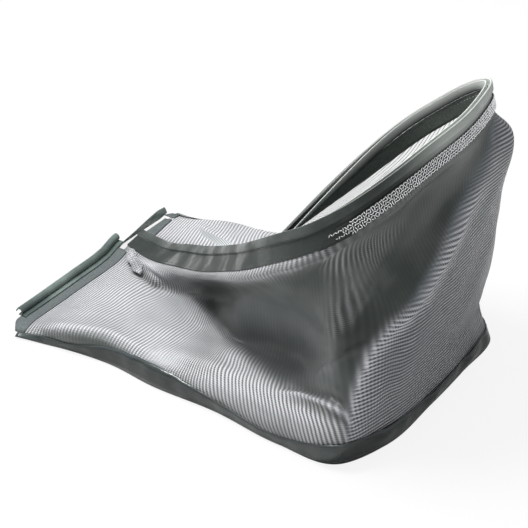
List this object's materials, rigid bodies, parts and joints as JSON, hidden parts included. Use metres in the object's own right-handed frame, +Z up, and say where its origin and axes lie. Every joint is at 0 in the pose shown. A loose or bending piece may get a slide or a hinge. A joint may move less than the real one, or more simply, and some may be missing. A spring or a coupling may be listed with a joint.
{
  "type": "lawn mower grass catcher",
  "caption": "Soft mesh grass catcher bag with a coated floor, a stiff groove rim round its top and hook strips along a collapsed open front.",
  "frame": {"origin": "middle of the bag's box at the level of the floor's underside", "axes": "+X from the open front to the rear, +Y from the near side to the far side, +Z up"},
  "size_m": [0.5772, 0.407, 0.3992],
  "materials": {
    "mesh_cloth": "ribbed mesh weave with a soft sheen",
    "coated_sheet": "smooth vinyl coated cloth, semi gloss",
    "rim_plastic": "extruded plastic, satin",
    "hook_plastic": "extruded plastic, glossy",
    "flange_tape": "tight woven webbing tape",
    "hem_tape": "webbing tape covered with zigzag stitches",
    "dark_tape": "woven webbing tape"
  },
  "bodies": {
    "root": {"bottom_panel": "coated_sheet", "near_side_panel": "mesh_cloth", "rear_panel": "mesh_cloth", "far_side_panel": "mesh_cloth", "near_hem_tuck": "mesh_cloth", "rim_channel": "rim_plastic", "rear_hem_tape": "hem_tape", "rim_inner_tape": "dark_tape", "bottom_seam_binding": "dark_tape", "near_corner_binding": "dark_tape", "far_corner_binding": "dark_tape", "near_front_flange": "flange_tape", "far_front_flange": "flange_tape", "far_corner_tab": "flange_tape", "bottom_front_hem": "flange_tape", "near_front_channel": "hook_plastic", "far_front_channel": "hook_plastic"}
  },
  "joints": []
}
